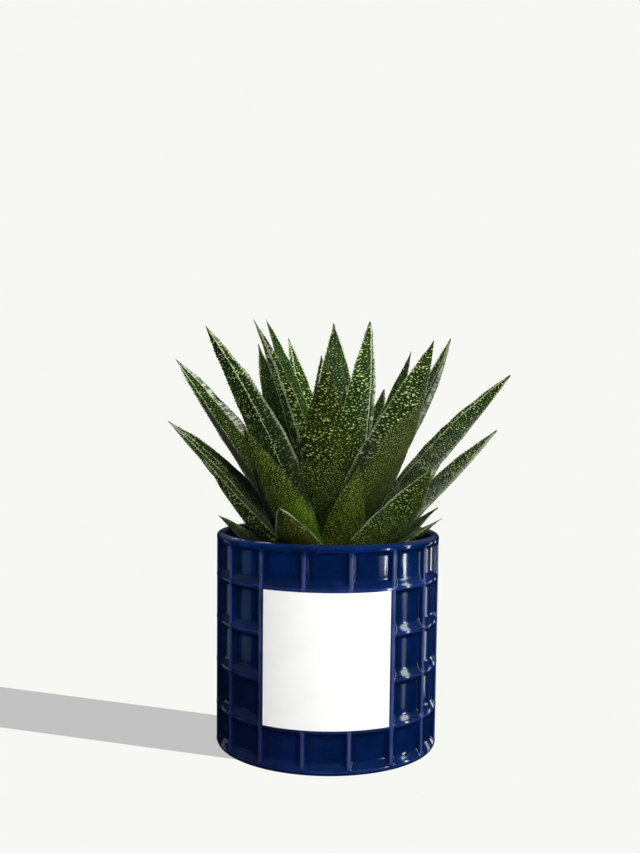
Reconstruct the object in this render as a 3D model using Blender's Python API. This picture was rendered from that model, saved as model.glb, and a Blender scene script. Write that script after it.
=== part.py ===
"""Gasteria rosette growing in a round glazed pot with a grid of recessed panels.

Metres, +Z up. The origin is the centre of the pot's flat underside and the front of
the pot, where the label sits, faces -Y. Angles in the leaf table are in degrees and
its lengths are in millimetres.
"""
from math import cos, hypot, pi, radians, sin

import bmesh
import bpy
from mathutils import Vector, noise
from mathutils.bvhtree import BVHTree

MM = 0.001
CLEARANCE = 0.3 * MM            # air kept between two touching pieces

# Pot: a nearly straight cylinder, 130 mm across the rim
RIM_RADIUS = 65.0 * MM
FOOT_RADIUS = 64.1 * MM
POT_HEIGHT = 122.8 * MM
WALL = 5.5 * MM                 # from the rib crests to the inside
POT_FLOOR = 6.0 * MM            # thickness of the pot's floor
INSIDE_RADIUS = RIM_RADIUS - WALL
FOOT_ROUND = 2.2 * MM           # rounding of the lower outer edge
RIM_BAND = 3.0 * MM             # plain band above the top row of panels
INSIDE_FILLET = 3.0 * MM        # rounding where the inside wall meets the floor

# Panels: 16 columns of 5 rows, sunk between rounded ribs
COLUMNS = 16
ROW_PITCH = 24.8 * MM
LOWEST_RIB = 24.0 * MM          # centre line of the rib above the bottom row
CREST_HALF = 1.0 * MM           # half width of a rib's crest
RIB_SLOPE = 1.2 * MM            # width of the slope from the crest to a panel's floor
PANEL_DEPTH = 2.2 * MM
PANEL_CORNER = 2.6 * MM         # cut across each corner of a panel
ROW_LINES = [FOOT_ROUND] + [LOWEST_RIB + i * ROW_PITCH for i in range(4)] + [POT_HEIGHT - RIM_BAND]
TILE_ANGLE = 2 * pi / COLUMNS

# Label: plain paper on a smooth patch of the wall, three columns by three rows in size
PATCH_COLUMNS = (15, 0, 1)
PATCH_ROWS = (1, 2, 3)
LABEL_THICKNESS = 0.5 * MM
LABEL_GAP = 0.35 * MM           # air between the paper and the wall
LABEL_HALF_ANGLE = radians(31.4)
LABEL_SEGMENTS = 12
LABEL_BOTTOM = 24.9 * MM
LABEL_TOP = 97.8 * MM

# Potting soil, dished round the plant
SOIL_LEVEL = 97.0 * MM
SOIL_DISH = 11.0 * MM           # depth of the hollow round the stem
DISH_INNER = 17.0 * MM
DISH_OUTER = 40.0 * MM
SOIL_LUMP = 0.9 * MM            # height of the lumps
SOIL_SECTORS = 32
SOIL_RINGS = (16.0, 21.0, 27.0, 34.0, 42.0, 50.0)

# Stem: a short caudex, standing in a plain hole in the soil
STEM_HOLE_DEPTH = 10.0 * MM
STEM_SIDES = 20

# Rings of leaf bases, innermost first: height, distance from the axis (mm). The first
# ring is the heart, which stands on the stem's top; the others are round its sides.
RINGS = (
    (132.8, 1.2), (132.0, 4.5), (124.0, 6.5), (115.0, 8.0),
    (106.0, 9.5), (98.0, 11.0), (90.0, 12.0),
)
STEM_RINGS = RINGS[1:]
STEM_GAP = 0.7 * MM             # from the stem to the inner face of a leaf base

# Leaves, innermost first. Bearing is 0 at the front and positive to the right; lean is
# the angle from upright at the base, and curl is how much it grows towards the tip.
# ring, bearing, lean, curl, sweep, length, width, twist
LEAVES = (
    (0, 125, 7, 2, 0, 78, 17, 0),
    (0, -25, 6, 4, 0, 66, 15, 0),
    (1, -75, 11.5, 17, 1, 121, 31, 12),
    (1, -116, 9.5, 18, 0, 123, 26, -4),
    (1, 54, 19, -14, -3, 115, 30, -16),
    (2, 169, 18.6, 4.3, 20, 134, 32, 0),
    (2, -148, 13, 14, 2, 122, 24, 2),
    (2, 98, 39, -17, 4, 132, 29, 30),
    (3, -4, 24, 11, 7, 117, 36, 0),
    (3, -173, 27, -9, -3, 123, 23, 0),
    (3, -130, 28, -10, -1, 130, 28, -1),
    (3, 128, 29, -6, 0, 129, 25, 0),
    (3, 42, 36.5, -6, -5, 139, 36, -12),
    (4, -49, 21.7, 18, 0, 154, 29, 25),
    (4, 150, 32, -1, 1, 119, 27, 0),
    (4, -113, 33, 12, -1, 153, 31, -30),
    (4, 87, 37.2, 8, 3, 145, 34, 40),
    (4, -158, 36, 4, 0, 108, 29, 0),
    (4, 172, 44, 4, 0, 112, 30, 0),
    (5, -30, 39, 4, -2, 115, 31, 7),
    (5, -104, 38, 16, -1, 127, 28, -28),
    (5, -68, 50, -13, 0, 95, 27, 0),
    (5, 49, 50, -6, -18, 97, 35, -14),
    (5, 16, 36, -6, 4, 79, 26, 4),
    (5, 98, 47, 0, 1, 124, 28, 24),
    (5, 127, 50, 4, 0, 98, 27, 8),
    (5, 158, 53, 0, 0, 98, 28, 8),
    (5, -136, 46, 2, 0, 98, 28, 8),
    (5, -170, 51, 2, 0, 96, 28, 8),
    (6, -20, 46, 7, -1, 82, 30, 11),
    (6, -93, 50, 5, -1, 67, 26, -18),
    (6, 113, 49.5, 9, 0, 76, 23, 2),
    (6, 82, 45, 15, 0, 69, 25, 4),
    (6, -122, 48, 8, 0, 74, 25, 0),
    (6, 143, 48, 8, 0, 78, 25, 0),
    (6, 174, 50, 6, 0, 76, 25, 0),
    (6, -151, 51, 6, 0, 76, 25, 0),
)
STATIONS = 18                   # sections along a leaf, short of its tip
BASE_SHARE = 0.5                # width of the base, as a share of the widest
WIDEST_FROM = 0.34              # the leaf reaches its full width here
TAPER_FROM = 0.30
TAPER_POWER = 1.75
THICKNESS_SHARE = 0.42          # keel depth, as a share of the half width
TOOTH = 0.35 * MM               # height of the teeth along margins and keel
CUT_GAP = 0.35 * MM             # how much a leaf is swollen where it cuts another

# One section of a leaf: across (share of half width), up (share of keel depth)
SECTION = ((1.0, 0.12), (0.0, -0.06), (-1.0, 0.12), (-0.62, -0.58), (0.0, -1.0), (0.62, -0.58))
TOOTHED = (0, 2, 4)             # the two margins and the keel
BASE_CENTRE = 0.4               # where the base's middle point lies, towards the keel
MITRE_LIMIT = 0.3               # keeps swollen corners from running out too far
TIP_SWELL = 6.0                 # a swollen tip runs on by this many gaps


def clear_scene():
    for thing in list(bpy.data.objects):
        bpy.data.objects.remove(thing, do_unlink=True)


def material(name, colour, roughness, coat=0.0):
    mat = bpy.data.materials.new(name)
    mat.use_nodes = True
    shader = mat.node_tree.nodes["Principled BSDF"]
    shader.inputs["Base Color"].default_value = (*colour, 1.0)
    shader.inputs["Roughness"].default_value = roughness
    shader.inputs["Coat Weight"].default_value = coat
    return mat


def finish(bm, name, mat, crease=40.0):
    """Turn a bmesh into a named object with its faces pointing out."""
    bmesh.ops.recalc_face_normals(bm, faces=bm.faces)
    mesh = bpy.data.meshes.new(name)
    bm.to_mesh(mesh)
    bm.free()
    mesh.materials.append(mat)
    mesh.shade_smooth()
    mesh.set_sharp_from_angle(angle=radians(crease))
    piece = bpy.data.objects.new(name, mesh)
    bpy.context.collection.objects.link(piece)
    return piece


def on_wall(angle, height, depth=0.0):
    """A point on the pot's outer wall, `depth` in from the rib crests."""
    radius = FOOT_RADIUS + (RIM_RADIUS - FOOT_RADIUS) * height / POT_HEIGHT - depth
    return Vector((radius * sin(angle), -radius * cos(angle), height))


def ring_of_verts(bm, radius, height, angles):
    return [bm.verts.new((radius * sin(a), -radius * cos(a), height)) for a in angles]


def band(bm, lower, upper):
    """Quads between two rings with the same number of vertices."""
    count = len(lower)
    for i in range(count):
        j = (i + 1) % count
        bm.faces.new((lower[i], lower[j], upper[j], upper[i]))


# ---------------------------------------------------------------- pot
def panel_loop(bm, left, right, low, high, inset, depth):
    """Ten vertices round a panel whose corners are cut: bottom, right, top, left."""
    turn = inset / RIM_RADIUS
    corner = PANEL_CORNER - inset
    corner_turn = corner / RIM_RADIUS
    middle = (left + right) / 2
    left, right, low, high = left + turn, right - turn, low + inset, high - inset
    spots = (
        (left, low + corner), (left + corner_turn, low), (middle, low),
        (right - corner_turn, low), (right, low + corner),
        (right, high - corner), (right - corner_turn, high), (middle, high),
        (left + corner_turn, high), (left, high - corner),
    )
    return [bm.verts.new(on_wall(angle, height, depth)) for angle, height in spots]


def add_panel(bm, frame, left, right, low, high):
    """One sunk panel inside a frame of six vertices, counted like the panel's loops."""
    crest = panel_loop(bm, left, right, low, high, CREST_HALF, 0.0)
    floor = panel_loop(bm, left, right, low, high, CREST_HALF + RIB_SLOPE, PANEL_DEPTH)
    c = crest
    bl, bmid, br, tr, tmid, tl = frame
    for corners in ((bl, c[1], c[0]), (bl, bmid, c[2], c[1]), (bmid, br, c[3], c[2]),
                    (br, c[4], c[3]), (br, tr, c[5], c[4]), (tr, c[6], c[5]),
                    (tr, tmid, c[7], c[6]), (tmid, tl, c[8], c[7]), (tl, c[9], c[8]),
                    (tl, bl, c[0], c[9])):
        bm.faces.new(corners)
    band(bm, crest, floor)
    f = floor
    for corners in ((f[0], f[1], f[8], f[9]), (f[1], f[2], f[7], f[8]),
                    (f[2], f[3], f[6], f[7]), (f[3], f[4], f[5], f[6])):
        bm.faces.new(corners)


def make_pot(mat):
    bm = bmesh.new()
    half = TILE_ANGLE / 2
    angles = [i * half for i in range(2 * COLUMNS)]     # odd ones are the ribs
    lines = [[bm.verts.new(on_wall(a, z)) for a in angles] for z in ROW_LINES]
    for row, (low, high) in enumerate(zip(ROW_LINES[:-1], ROW_LINES[1:])):
        below, above = lines[row], lines[row + 1]
        for column in range(COLUMNS):
            a, m, b = 2 * column - 1, 2 * column, (2 * column + 1) % len(angles)
            if column in PATCH_COLUMNS and row in PATCH_ROWS:
                bm.faces.new((below[a], below[m], above[m], above[a]))
                bm.faces.new((below[m], below[b], above[b], above[m]))
                continue
            frame = (below[a], below[m], below[b], above[b], above[m], above[a])
            add_panel(bm, frame, (2 * column - 1) * half, (2 * column + 1) * half, low, high)
    rim = ((RIM_RADIUS, -2.4 * MM), (RIM_RADIUS - 0.6 * MM, -1.0 * MM), (RIM_RADIUS - 1.9 * MM, -0.2 * MM),
           (RIM_RADIUS - 3.0 * MM, 0.0), (INSIDE_RADIUS + 1.0 * MM, -0.5 * MM), (INSIDE_RADIUS, -1.8 * MM))
    rings = [lines[-1]] + [ring_of_verts(bm, r, POT_HEIGHT + z, angles) for r, z in rim]
    rings.append(ring_of_verts(bm, INSIDE_RADIUS, POT_FLOOR + INSIDE_FILLET, angles))
    rings.append(ring_of_verts(bm, INSIDE_RADIUS - INSIDE_FILLET, POT_FLOOR, angles))
    for lower, upper in zip(rings[:-1], rings[1:]):
        band(bm, lower, upper)
    bm.faces.new(rings[-1])
    foot = [ring_of_verts(bm, FOOT_RADIUS - 0.7 * MM, 0.7 * MM, angles),
            ring_of_verts(bm, FOOT_RADIUS - FOOT_ROUND, 0.0, angles)]
    band(bm, foot[0], lines[0])
    band(bm, foot[1], foot[0])
    bm.faces.new(foot[1])
    return finish(bm, "pot", mat)


def make_label(mat):
    bm = bmesh.new()
    half = LABEL_HALF_ANGLE
    angles = [-half + 2 * half * i / LABEL_SEGMENTS for i in range(LABEL_SEGMENTS + 1)]
    inner = -LABEL_GAP
    outer = inner - LABEL_THICKNESS
    corners = ((inner, LABEL_BOTTOM), (outer, LABEL_BOTTOM), (outer, LABEL_TOP), (inner, LABEL_TOP))
    rows = [[bm.verts.new(on_wall(a, height, depth)) for a in angles] for depth, height in corners]
    for i in range(LABEL_SEGMENTS):
        for k in range(4):
            here, there = rows[k], rows[(k + 1) % 4]
            bm.faces.new((here[i], here[i + 1], there[i + 1], there[i]))
    for end in (0, LABEL_SEGMENTS):
        bm.faces.new([row[end] for row in rows])
    return finish(bm, "label", mat, crease=30.0)


# ---------------------------------------------------------------- soil and stem
def stem_radius(height):
    """The caudex follows the rings of leaf bases, a little inside them."""
    ladder = [(z * MM, r * MM - STEM_GAP) for z, r in STEM_RINGS]
    if height >= ladder[0][0]:
        return ladder[0][1]
    for (z_up, r_up), (z_down, r_down) in zip(ladder[:-1], ladder[1:]):
        if height >= z_down:
            return r_down + (r_up - r_down) * (height - z_down) / (z_up - z_down)
    return ladder[-1][1]


def soil_height(x, y):
    """Level ground that dips round the plant, with small lumps."""
    rise = (hypot(x, y) - DISH_INNER) / (DISH_OUTER - DISH_INNER)
    rise = min(max(rise, 0.0), 1.0)
    rise = rise * rise * (3 - 2 * rise)
    lump = noise.noise(Vector((x, y, 0.0)) * 170.0)
    return SOIL_LEVEL - SOIL_DISH * (1 - rise) + SOIL_LUMP * lump


def make_soil(mat):
    bm = bmesh.new()
    angles = [2 * pi * i / SOIL_SECTORS for i in range(SOIL_SECTORS)]
    hole = stem_radius(0.0) + CLEARANCE + 0.2 * MM
    outside = INSIDE_RADIUS - CLEARANCE - 0.1 * MM
    bottom = POT_FLOOR + CLEARANCE
    hole_floor = SOIL_LEVEL - SOIL_DISH - STEM_HOLE_DEPTH

    def surface_ring(radius):
        ring = ring_of_verts(bm, radius, 0.0, angles)
        for vert in ring:
            vert.co.z = soil_height(vert.co.x, vert.co.y)
        return ring

    rings = [ring_of_verts(bm, hole, hole_floor, angles)]
    rings += [surface_ring(r) for r in [hole] + [r * MM for r in SOIL_RINGS] + [outside]]
    rings.append(ring_of_verts(bm, outside, bottom + INSIDE_FILLET, angles))
    rings.append(ring_of_verts(bm, outside - INSIDE_FILLET, bottom, angles))
    for lower, upper in zip(rings[:-1], rings[1:]):
        band(bm, lower, upper)
    bm.faces.new(rings[0])
    bm.faces.new(rings[-1])
    return finish(bm, "soil", mat)


def make_stem(mat):
    bm = bmesh.new()
    angles = [2 * pi * i / STEM_SIDES for i in range(STEM_SIDES)]
    foot = SOIL_LEVEL - SOIL_DISH - STEM_HOLE_DEPTH + CLEARANCE
    heights = [foot] + [z * MM for z, _ in reversed(STEM_RINGS)]
    rings = [ring_of_verts(bm, stem_radius(z), z, angles) for z in heights]
    for lower, upper in zip(rings[:-1], rings[1:]):
        band(bm, lower, upper)
    bm.faces.new(rings[0])
    bm.faces.new(rings[-1])
    return finish(bm, "stem", mat)


# ---------------------------------------------------------------- leaves
def leaf_width(s):
    """Share of the full width at s, which runs from 0 at the base to 1 at the tip."""
    swell = min(s / WIDEST_FROM, 1.0)
    swell = BASE_SHARE + (1 - BASE_SHARE) * swell * swell * (3 - 2 * swell)
    taper = min(max((s - TAPER_FROM) / (1 - TAPER_FROM), 0.0), 1.0)
    return swell * (1 - taper ** TAPER_POWER)


def leaf_axes(row, s):
    """Direction of growth, direction across and inner face normal at s."""
    _, bearing, lean, curl, sweep, _, _, twist = row
    lean = radians(lean + curl * s)
    bearing = radians(bearing + sweep * s)
    grow = Vector((sin(lean) * sin(bearing), -sin(lean) * cos(bearing), cos(lean)))
    inner = Vector((-cos(lean) * sin(bearing), cos(lean) * cos(bearing), sin(lean)))
    across = Vector((cos(bearing), sin(bearing), 0.0))
    turn = radians(twist * s)
    return grow, across * cos(turn) + inner * sin(turn), inner * cos(turn) - across * sin(turn)


def section_points(half, toothed_up, swollen):
    """The section's corners, as (across, inward) pairs, pushed out by `swollen`."""
    keel = half * THICKNESS_SHARE
    corners = []
    for index, (u, v) in enumerate(SECTION):
        corner = Vector((u * half, v * keel))
        if index in TOOTHED:
            corner += corner.normalized() * (TOOTH if toothed_up else -TOOTH)
        corners.append(corner)
    if not swollen:
        return corners
    pushed = []
    for index, corner in enumerate(corners):
        before = (corner - corners[index - 1]).normalized()
        after = (corners[(index + 1) % len(corners)] - corner).normalized()
        out = before.orthogonal() + after.orthogonal()
        square = max(1 + before.dot(after), MITRE_LIMIT)
        pushed.append(corner - out * (swollen / square))
    return pushed


def leaf_mesh(row, swollen=0.0):
    """A closed leaf: keeled sections strung on a curved spine, with toothed edges."""
    ring, bearing, length, width = row[0], radians(row[1]), row[5] * MM, row[6] * MM
    height, distance = RINGS[ring][0] * MM, RINGS[ring][1] * MM
    centre = Vector((distance * sin(bearing), -distance * cos(bearing), height))
    step = length / STATIONS
    bm = bmesh.new()
    rings = []
    grow, _, inner = leaf_axes(row, 0.0)
    base_depth = width / 2 * BASE_SHARE * THICKNESS_SHARE * BASE_CENTRE
    base = bm.verts.new(centre - grow * swollen - inner * base_depth)
    for i in range(STATIONS):
        s = i / STATIONS
        grow, across, inner = leaf_axes(row, s)
        corners = section_points(width / 2 * leaf_width(s), i % 2 == 1, swollen)
        start = centre - grow * swollen if i == 0 else centre
        rings.append([bm.verts.new(start + across * c.x + inner * c.y) for c in corners])
        centre = centre + leaf_axes(row, s + 0.5 / STATIONS)[0] * step
    tip = bm.verts.new(centre + grow * swollen * TIP_SWELL)
    for lower, upper in zip(rings[:-1], rings[1:]):
        band(bm, lower, upper)
    count = len(SECTION)
    for k in range(count):
        after = (k + 1) % count
        bm.faces.new((base, rings[0][after], rings[0][k]))
        bm.faces.new((rings[-1][k], rings[-1][after], tip))
    bmesh.ops.triangulate(bm, faces=bm.faces)
    bmesh.ops.recalc_face_normals(bm, faces=bm.faces)
    return bm


def keep_largest_body(mesh):
    """Drop the loose scraps that a cut can leave behind."""
    bm = bmesh.new()
    bm.from_mesh(mesh)
    left = set(bm.verts)
    bodies = []
    while left:
        body, front = set(), [left.pop()]
        while front:
            vert = front.pop()
            body.add(vert)
            for edge in vert.link_edges:
                other = edge.other_vert(vert)
                if other in left:
                    left.remove(other)
                    front.append(other)
        bodies.append(body)
    bodies.sort(key=len, reverse=True)
    for scrap in bodies[1:]:
        bmesh.ops.delete(bm, geom=list(scrap), context="VERTS")
    bmesh.ops.triangulate(bm, faces=bm.faces)
    bm.to_mesh(mesh)
    bm.free()


def cut_by(piece, cutter_mesh):
    """Cut a leaf by the swollen form of one that grew before it."""
    cutter = bpy.data.objects.new("cutter", cutter_mesh)
    bpy.context.collection.objects.link(cutter)
    cut = piece.modifiers.new("cut", "BOOLEAN")
    cut.operation = "DIFFERENCE"
    cut.solver = "EXACT"
    cut.object = cutter
    graph = bpy.context.evaluated_depsgraph_get()
    result = bpy.data.meshes.new_from_object(piece.evaluated_get(graph))
    piece.modifiers.remove(cut)
    piece.data = result
    bpy.data.objects.remove(cutter, do_unlink=True)
    keep_largest_body(piece.data)


def make_leaves(mat):
    """Leaves from the centre out; each gives way to the ones inside it."""
    earlier = []
    for number, row in enumerate(LEAVES, start=1):
        bm = leaf_mesh(row)
        tree = BVHTree.FromBMesh(bm)
        piece = finish(bm, f"leaf_{number:02d}", mat, crease=25.0)
        for swollen_tree, swollen_mesh in earlier:
            if tree.overlap(swollen_tree):
                cut_by(piece, swollen_mesh)
        swollen = leaf_mesh(row, CUT_GAP)
        swollen_mesh = bpy.data.meshes.new("swollen")
        swollen.to_mesh(swollen_mesh)
        earlier.append((BVHTree.FromBMesh(swollen), swollen_mesh))
        swollen.free()


def main():
    clear_scene()
    glaze = material("cobalt_glaze", (0.010, 0.022, 0.140), 0.08, 1.0)
    paper = material("white_paper", (0.85, 0.85, 0.84), 0.7)
    earth = material("potting_soil", (0.045, 0.030, 0.020), 0.95)
    green = material("leaf_skin", (0.030, 0.060, 0.015), 0.45)
    caudex = material("stem_skin", (0.12, 0.10, 0.05), 0.7)
    make_pot(glaze)
    make_label(paper)
    make_soil(earth)
    make_stem(caudex)
    make_leaves(green)


main()
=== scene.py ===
"""A gasteria in its glazed pot, dressed for the library.

Metres, +Z up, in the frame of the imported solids: the origin is under the middle of
the pot, and its front, where the label is, faces -Y.
"""
from math import cos, hypot, pi, radians, sin
from random import Random

import bmesh
import bpy
import numpy as np
from mathutils import Euler, Matrix, Vector, noise


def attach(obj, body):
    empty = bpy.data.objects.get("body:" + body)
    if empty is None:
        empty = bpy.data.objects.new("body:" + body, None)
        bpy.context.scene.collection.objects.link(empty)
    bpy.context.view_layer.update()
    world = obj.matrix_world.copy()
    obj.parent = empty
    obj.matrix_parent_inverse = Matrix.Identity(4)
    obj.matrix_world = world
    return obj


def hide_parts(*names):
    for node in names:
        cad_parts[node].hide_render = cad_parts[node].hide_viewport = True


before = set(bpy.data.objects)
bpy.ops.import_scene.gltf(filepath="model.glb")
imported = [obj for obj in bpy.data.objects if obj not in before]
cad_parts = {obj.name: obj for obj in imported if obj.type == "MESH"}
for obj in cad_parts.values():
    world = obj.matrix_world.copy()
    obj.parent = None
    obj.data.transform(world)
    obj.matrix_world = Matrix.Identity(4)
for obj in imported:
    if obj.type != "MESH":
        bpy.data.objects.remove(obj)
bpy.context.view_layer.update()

MM = 0.001
HAIR = 0.00002                  # near enough to be the same place

# ---------------- driving sizes
# The pot, as in the solids
RIM_RADIUS = 65.0 * MM
FOOT_RADIUS = 64.1 * MM
POT_HEIGHT = 122.8 * MM
INSIDE_RADIUS = 59.5 * MM
FOOT_ROUND = 2.2 * MM
POT_FLOOR = 6.0 * MM
COLUMNS = 16
RIB_LINES = [FOOT_ROUND, 24.0 * MM, 48.8 * MM, 73.6 * MM, 98.4 * MM, 119.8 * MM]
CREST_HALF = 1.0 * MM
RIB_SLOPE = 1.2 * MM
PANEL_DEPTH = 2.2 * MM
LEDGE = 2.6 * MM                # how much further a panel's lower side runs up
PATCH_COLUMNS = (15, 0, 1)      # no panels here: the label needs a smooth place
PATCH_ROWS = (1, 2, 3)
PANEL_FLAT = 1.0 * MM           # flat strip inside the foot of a panel's slope
TILE = 2 * pi / COLUMNS

# The soil's surface, as in the solids
SOIL_LEVEL = 97.0 * MM
SOIL_DISH = 11.0 * MM
DISH_INNER = 17.0 * MM
DISH_OUTER = 40.0 * MM
SOIL_DEPTH = 70.0 * MM
SOIL_BOTTOM = 12.0 * MM
SOIL_RINGS = (                  # radii of the ground's rings of faces, in mm
    9.8, 11, 13, 15, 17.5, 20, 23, 26, 29, 32, 35, 38, 41, 44, 47, 50, 53, 55.5, 57.5, 59.1)
CRUMBS = 420
CRUMB_REACH = 57 * MM

# Leaf bases stand in rings round the stem: height and distance from the axis, in mm
RINGS = (
    (132.8, 1.2), (132.0, 4.5), (124.0, 6.5), (115.0, 8.0),
    (106.0, 9.5), (98.0, 11.0), (90.0, 12.0),
)
# Leaves from the heart outwards. Bearing is 0 at the front and positive to the right,
# lean is from upright at the base, curl is what it grows by towards the tip.
# ring, bearing, lean, curl, sweep, length, width, twist, skin
LEAVES = (
    (0, 125, 7, 2, 0, 78, 17, 0, "young"),
    (0, -25, 6, 4, 0, 66, 15, 0, "young"),
    (1, -75, 11.5, 17, 1, 121, 31, 12, "lined"),
    (1, -116, 9.5, 18, 0, 123, 26, -4, "deep"),
    (1, 54, 19, -14, -3, 115, 30, -16, "bold"),
    (2, 169, 18.6, 4.3, 20, 134, 32, 0, "pale"),
    (2, -148, 13, 14, 2, 122, 24, 2, "lined"),
    (2, 98, 39, -17, 4, 132, 29, 30, "pale"),
    (3, -4, 24, 11, 7, 117, 36, 0, "fine"),
    (3, -173, 27, -9, -3, 123, 23, 0, "deep"),
    (3, -130, 28, -10, -1, 130, 28, -1, "deep"),
    (3, 128, 29, -6, 0, 129, 25, 0, "deep"),
    (3, 42, 36.5, -6, -5, 139, 36, -12, "dusted"),
    (4, -49, 21.7, 18, 0, 154, 29, 25, "bold"),
    (4, 150, 32, -1, 1, 119, 27, 0, "deep"),
    (4, -113, 33, 12, -1, 153, 31, -30, "marked"),
    (4, 87, 37.2, 8, 3, 145, 34, 40, "bold"),
    (4, -158, 36, 4, 0, 108, 29, 0, "deep"),
    (4, 172, 44, 4, 0, 112, 30, 0, "bold"),
    (5, -30, 39, 4, -2, 115, 31, 7, "olive"),
    (5, -104, 38, 16, -1, 127, 28, -28, "marked"),
    (5, -68, 50, -13, 0, 95, 27, 0, "lined"),
    (5, 49, 50, -6, -18, 97, 35, -14, "edged"),
    (5, 16, 36, -6, 4, 79, 26, 4, "olive"),
    (5, 98, 47, 0, 1, 124, 28, 24, "bold"),
    (5, 127, 50, 4, 0, 98, 27, 8, "deep"),
    (5, 158, 53, 0, 0, 98, 28, 8, "olive"),
    (5, -136, 46, 2, 0, 98, 28, 8, "bold"),
    (5, -170, 51, 2, 0, 96, 28, 8, "deep"),
    (6, -20, 46, 7, -1, 82, 30, 11, "dull"),
    (6, -93, 50, 5, -1, 67, 26, -18, "young"),
    (6, 113, 49.5, 9, 0, 76, 23, 2, "deep"),
    (6, 82, 45, 15, 0, 69, 25, 4, "lined"),
    (6, -122, 48, 8, 0, 74, 25, 0, "olive"),
    (6, 143, 48, 8, 0, 78, 25, 0, "deep"),
    (6, 174, 50, 6, 0, 76, 25, 0, "olive"),
    (6, -151, 51, 6, 0, 76, 25, 0, "deep"),
)
BASE_SHARE = 0.5                # width of a leaf's base, as a share of its widest
WIDEST_FROM = 0.34
TAPER_FROM = 0.30
TAPER_POWER = 1.75
# The section of a leaf, worked out of an eight-sided circle, as shares of the half width
DIAGONAL = 0.707                # the circle's slanting corners
HOLLOW_SHARE = 0.025
MARGIN_RISE = 0.05
KEEL_SHARE = 0.42
FLANK_SHARE = 0.265
INNER_SHARE = 0.74              # how far in the hollow's own corners stand
STATION_PITCH = 7.6 * MM        # rough distance between the sections of a leaf
BRISTLE_FROM = 0.982            # the last stretch of a leaf is a thin bristle
BRISTLE_HALF = 0.28 * MM
LAST_STATION = 0.94             # below it the sections of a leaf are evenly spaced
TOOTH = 0.60 * MM
TEETH = (1.25, 0.45, 0.9, 0.7, 1.1)     # shares of it, given out by place
TEETH_STEP = 0.737 * MM
SWELL_HEIGHT = 1.7 * MM         # of the flesh's slow swelling
SWELL_WIDTH = 14 * MM
# Skins of the leaves whose keel is worn round, and the crease of either keel
ROUND_BACKED = ("olive", "edged", "dull", "dusted", "fine")
ROUND_KEEL, SHARP_KEEL = 0.15, 0.9
# Keels that lie to one side, as a share of the half width, by leaf number
OBLIQUE_KEELS = {5: 0.25, 8: 0.22, 14: 0.50, 21: 0.10, 25: 0.30}
# Painted sheen: pale bands that stand in for a glossy reflection, by face (1 hollow, -1 keeled)
# and the reach across in half widths
PAINTED_SHEEN_BANDS = {
    5: ((-1, 0.55, 1.0), (1, 0.5, 1.0)),
    8: ((1, -0.95, -0.42),),
    16: ((1, -0.98, -0.44),),
    17: ((1, -1.0, -0.88), (-1, -1.0, -0.74)),
    25: ((1, -1.0, -0.70),),
}
# Painted shade: smooth dark strips without dots where a leaf lies in shade, in the same way and
# with how strong it is
PAINTED_SHADE_STRIPS = {
    14: ((-1, 0.56, 1.0, 0.72),),
    16: ((1, 0.50, 1.0, 1.0), (-1, 0.60, 1.0, 1.0)),
    20: ((-1, -1.0, -0.50, 1.0),),
    21: ((1, -1.0, -0.36, 1.0),),
}
# Pale ridges along the hollow face, by their reach across in half widths
RIDGES = {
    7: (0.2,), 8: (-0.02, -0.42), 16: (-0.50, 0.49), 17: (0.64,), 21: (0.25, -0.3),
    25: (-0.34, -0.66),
}
BACK_RIDGES = {3: (0.50, 0.68)}     # the same on the keeled face
# A shorter olive leaf lying on the back of another: its left edge across in half widths,
# how far that edge leans over to its tip, where the lean starts and how long it is
OVERLAPS = {13: (-0.66, 1.22, 0.47, 0.28)}
LEAN_POWER = 3.2
OVERLAP_LIFT = 0.75 * MM
NOWHERE = -9.0                  # a distance in mm that is well outside it
# Fresh green near the base: reach across in half widths, then the share of the length
FRESH_PLACES = {14: (0.0, 1.3, 0.08, 0.30), 20: (0.10, 1.4, 0.16, 0.58)}


# ---------------- working by hand
def deselect():
    bpy.ops.object.select_all(action="DESELECT")


def only(piece):
    """Select one piece alone and make it the active one."""
    deselect()
    piece.select_set(True)
    bpy.context.view_layer.objects.active = piece


def edit(piece):
    only(piece)
    bpy.ops.object.mode_set(mode="EDIT")


def done():
    bpy.ops.object.mode_set(mode="OBJECT")


def pick(piece, kind, wanted):
    """In edit mode, select only the vertices, edges or faces that are wanted."""
    bpy.ops.mesh.select_mode(type=kind)
    bpy.ops.mesh.select_all(action="DESELECT")
    shape = bmesh.from_edit_mesh(piece.data)
    for part in {"VERT": shape.verts, "EDGE": shape.edges, "FACE": shape.faces}[kind]:
        if wanted(part):
            part.select_set(True)
    shape.select_flush_mode()
    bmesh.update_edit_mesh(piece.data)


def pick_all():
    bpy.ops.mesh.select_all(action="SELECT")


def face_outwards():
    """In edit mode, turn all the piece's faces outwards."""
    pick_all()
    bpy.ops.mesh.normals_make_consistent(inside=False)


def scale_about(height, x, y, z):
    """Scale what is selected about a point on the Z axis."""
    bpy.ops.transform.resize(value=(x, y, z), center_override=(0, 0, height))


def pull(rise, ratio, height):
    """Extrude what is selected upwards, then draw it in or out round the Z axis."""
    bpy.ops.mesh.extrude_region_move(TRANSFORM_OT_translate={"value": (0, 0, rise)})
    scale_about(height, ratio, ratio, 1)


def modify(piece, kind, **settings):
    """Add a modifier, set it and apply it."""
    only(piece)
    bpy.ops.object.modifier_add(type=kind)
    tool = piece.modifiers[-1]
    for name, value in settings.items():
        setattr(tool, name, value)
    bpy.ops.object.modifier_apply(modifier=tool.name)


def smooth(piece, angle):
    only(piece)
    bpy.ops.object.shade_smooth_by_angle(angle=radians(angle))


def settle(piece):
    """Put the object's own place and turn into its mesh."""
    only(piece)
    bpy.ops.object.transform_apply(location=True, rotation=True, scale=True)


def hand_over(piece, node, look):
    piece.data.materials.clear()
    piece.data.materials.append(look)
    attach(piece, "root")
    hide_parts(node)


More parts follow.
